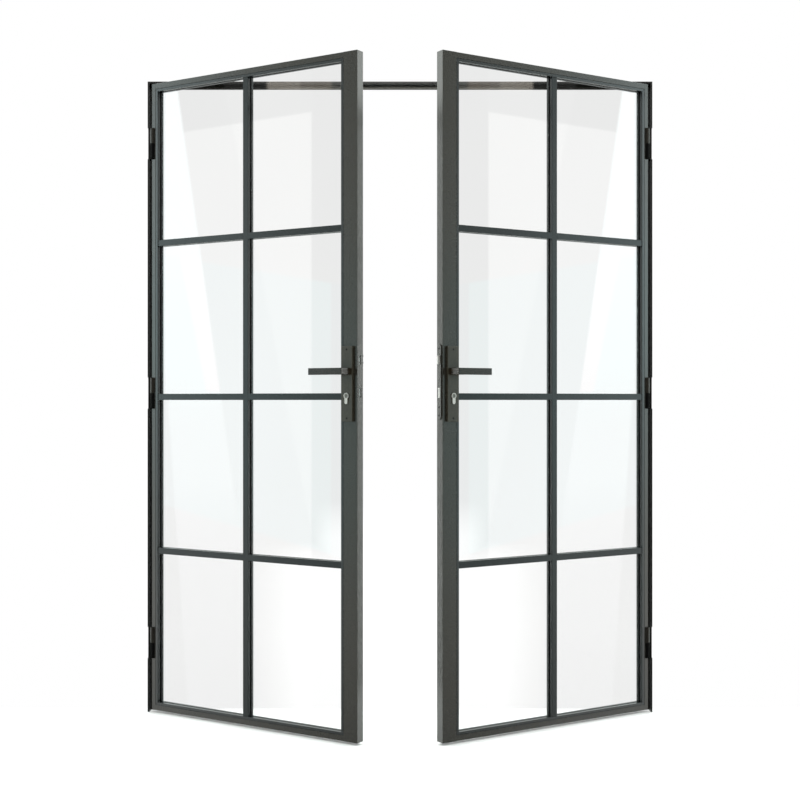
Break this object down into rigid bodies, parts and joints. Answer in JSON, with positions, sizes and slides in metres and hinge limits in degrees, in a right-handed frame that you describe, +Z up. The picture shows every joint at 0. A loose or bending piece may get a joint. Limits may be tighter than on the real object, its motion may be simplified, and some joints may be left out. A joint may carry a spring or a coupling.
{
  "type": "french doors",
  "caption": "Glazed double doors in a thin angle frame: slim dark leaves with glazing bars, lift-off hinges, lever handles, latch and key lock.",
  "frame": {"origin": "on the floor, at the middle of the frame's width, in the plane of the frame's front edge", "axes": "+X along the frame to the right, +Y away from the side the leaves open to, +Z up"},
  "size_m": [1.646, 0.5089, 2.056],
  "materials": {
    "frame_coat": "fine matt powder coat",
    "leaf_coat": "fine matt powder coat",
    "bead_coat": "fine matt powder coat",
    "bar_coat": "fine matt powder coat",
    "upper_hinge_coat": "satin black",
    "lower_hinge_coat": "matt black",
    "pin_steel": "plain",
    "seal_rubber": "matt",
    "clear_glass": "clear",
    "glazing_tape": "matt",
    "plate_coat": "fine matt powder coat",
    "lever_coat": "fine matt powder coat",
    "lock_steel": "satin nickel",
    "plug_steel": "satin nickel",
    "bolt_steel": "satin",
    "forend_coat": "fine matt powder coat",
    "case_steel": "zinc plated",
    "strike_coat": "fine matt powder coat",
    "strike_box": "plain grey"
  },
  "bodies": {
    "frame": {"left_jamb": "frame_coat", "right_jamb": "frame_coat", "frame_head": "frame_coat", "frame_seal": "seal_rubber", "left_frame_knuckles": "lower_hinge_coat", "right_frame_knuckles": "lower_hinge_coat"},
    "left_leaf": {"left_hinge_stile": "leaf_coat", "left_lock_stile": "leaf_coat", "left_top_rail": "leaf_coat", "left_bottom_rail": "leaf_coat", "left_glass": "clear_glass", "left_glazing_tape": "glazing_tape", "left_front_beads": "bead_coat", "left_rear_beads": "bead_coat", "left_front_upright_bar": "bar_coat", "left_rear_upright_bar": "bar_coat", "left_front_cross_bars": "bar_coat", "left_rear_cross_bars": "bar_coat", "left_leaf_knuckles": "upper_hinge_coat", "left_cylinder": "lock_steel", "left_handle_plates": "plate_coat", "left_strike_plate": "strike_coat", "left_strike_boxes": "strike_box", "left_bolt_case": "case_steel"},
    "right_leaf": {"right_hinge_stile": "leaf_coat", "right_lock_stile": "leaf_coat", "right_top_rail": "leaf_coat", "right_bottom_rail": "leaf_coat", "right_glass": "clear_glass", "right_glazing_tape": "glazing_tape", "right_front_beads": "bead_coat", "right_rear_beads": "bead_coat", "right_front_upright_bar": "bar_coat", "right_rear_upright_bar": "bar_coat", "right_front_cross_bars": "bar_coat", "right_rear_cross_bars": "bar_coat", "right_leaf_knuckles": "upper_hinge_coat", "right_cylinder": "lock_steel", "right_handle_plates": "plate_coat", "right_lock_forend": "forend_coat", "right_lock_case": "case_steel"},
    "left_handle": {"left_lever": "lever_coat", "left_rear_knob": "lever_coat", "left_spindle": "pin_steel"},
    "right_handle": {"right_lever": "lever_coat", "right_rear_knob": "lever_coat", "right_spindle": "pin_steel"},
    "left_plug": {"left_cylinder_plug": "plug_steel"},
    "right_plug": {"right_cylinder_plug": "plug_steel"},
    "right_latch": {"right_latch_bolt": "bolt_steel"},
    "right_bolt": {"right_dead_bolt": "bolt_steel"},
    "left_top_rod": {"left_top_bolt": "pin_steel"},
    "left_bottom_rod": {"left_bottom_bolt": "pin_steel"}
  },
  "joints": [
    {"name": "left_leaf_swing", "type": "hinge", "parent": "frame", "child": "left_leaf", "pos_m": [-0.806, 0, 1.04], "axis": [0, 0, 1], "range_deg": [-137.8, 32.2]},
    {"name": "right_leaf_swing", "type": "hinge", "parent": "frame", "child": "right_leaf", "pos_m": [0.806, 0, 1.04], "axis": [0, 0, -1], "range_deg": [-137.8, 32.2]},
    {"name": "left_lever_turn", "type": "hinge", "parent": "left_leaf", "child": "left_handle", "pos_m": [-0.15274, -0.41138, 1.1015], "axis": [0.5329, 0.8462, 0], "range_deg": [0, 40]},
    {"name": "right_lever_turn", "type": "hinge", "parent": "right_leaf", "child": "right_handle", "pos_m": [0.15274, -0.41138, 1.1015], "axis": [-0.5329, 0.8462, 0], "range_deg": [0, 40], "stiffness_Nm_per_rad": 1.5, "springref_deg": -34.38},
    {"name": "left_key_turn", "type": "hinge", "parent": "left_leaf", "child": "left_plug", "pos_m": [-0.15274, -0.41138, 1.0295], "axis": [0.5329, 0.8462, 0], "range_deg": [0, 360]},
    {"name": "right_key_turn", "type": "hinge", "parent": "right_leaf", "child": "right_plug", "pos_m": [0.15274, -0.41138, 1.0295], "axis": [-0.5329, 0.8462, 0], "range_deg": [0, 360]},
    {"name": "latch_slide", "type": "slide", "parent": "right_leaf", "child": "right_latch", "axis": [0.8462, 0.5329, 0], "range_m": [0, 0.01]},
    {"name": "dead_bolt_slide", "type": "slide", "parent": "right_leaf", "child": "right_bolt", "axis": [-0.8462, -0.5329, 0], "range_m": [0, 0.012]},
    {"name": "top_bolt_slide", "type": "slide", "parent": "left_leaf", "child": "left_top_rod", "axis": [0, 0, 1], "range_m": [0, 0.014]},
    {"name": "bottom_bolt_slide", "type": "slide", "parent": "left_leaf", "child": "left_bottom_rod", "axis": [0, 0, -1], "range_m": [0, 0.014]}
  ],
  "couplings": [
    {"joint": "latch_slide", "follows": "right_lever_turn", "m_per_rad": 0.014323},
    {"joint": "right_key_turn", "follows": "dead_bolt_slide", "rad_per_m": 523.59},
    {"joint": "top_bolt_slide", "follows": "left_lever_turn", "m_per_rad": 0.020053},
    {"joint": "bottom_bolt_slide", "follows": "left_lever_turn", "m_per_rad": 0.020053}
  ]
}
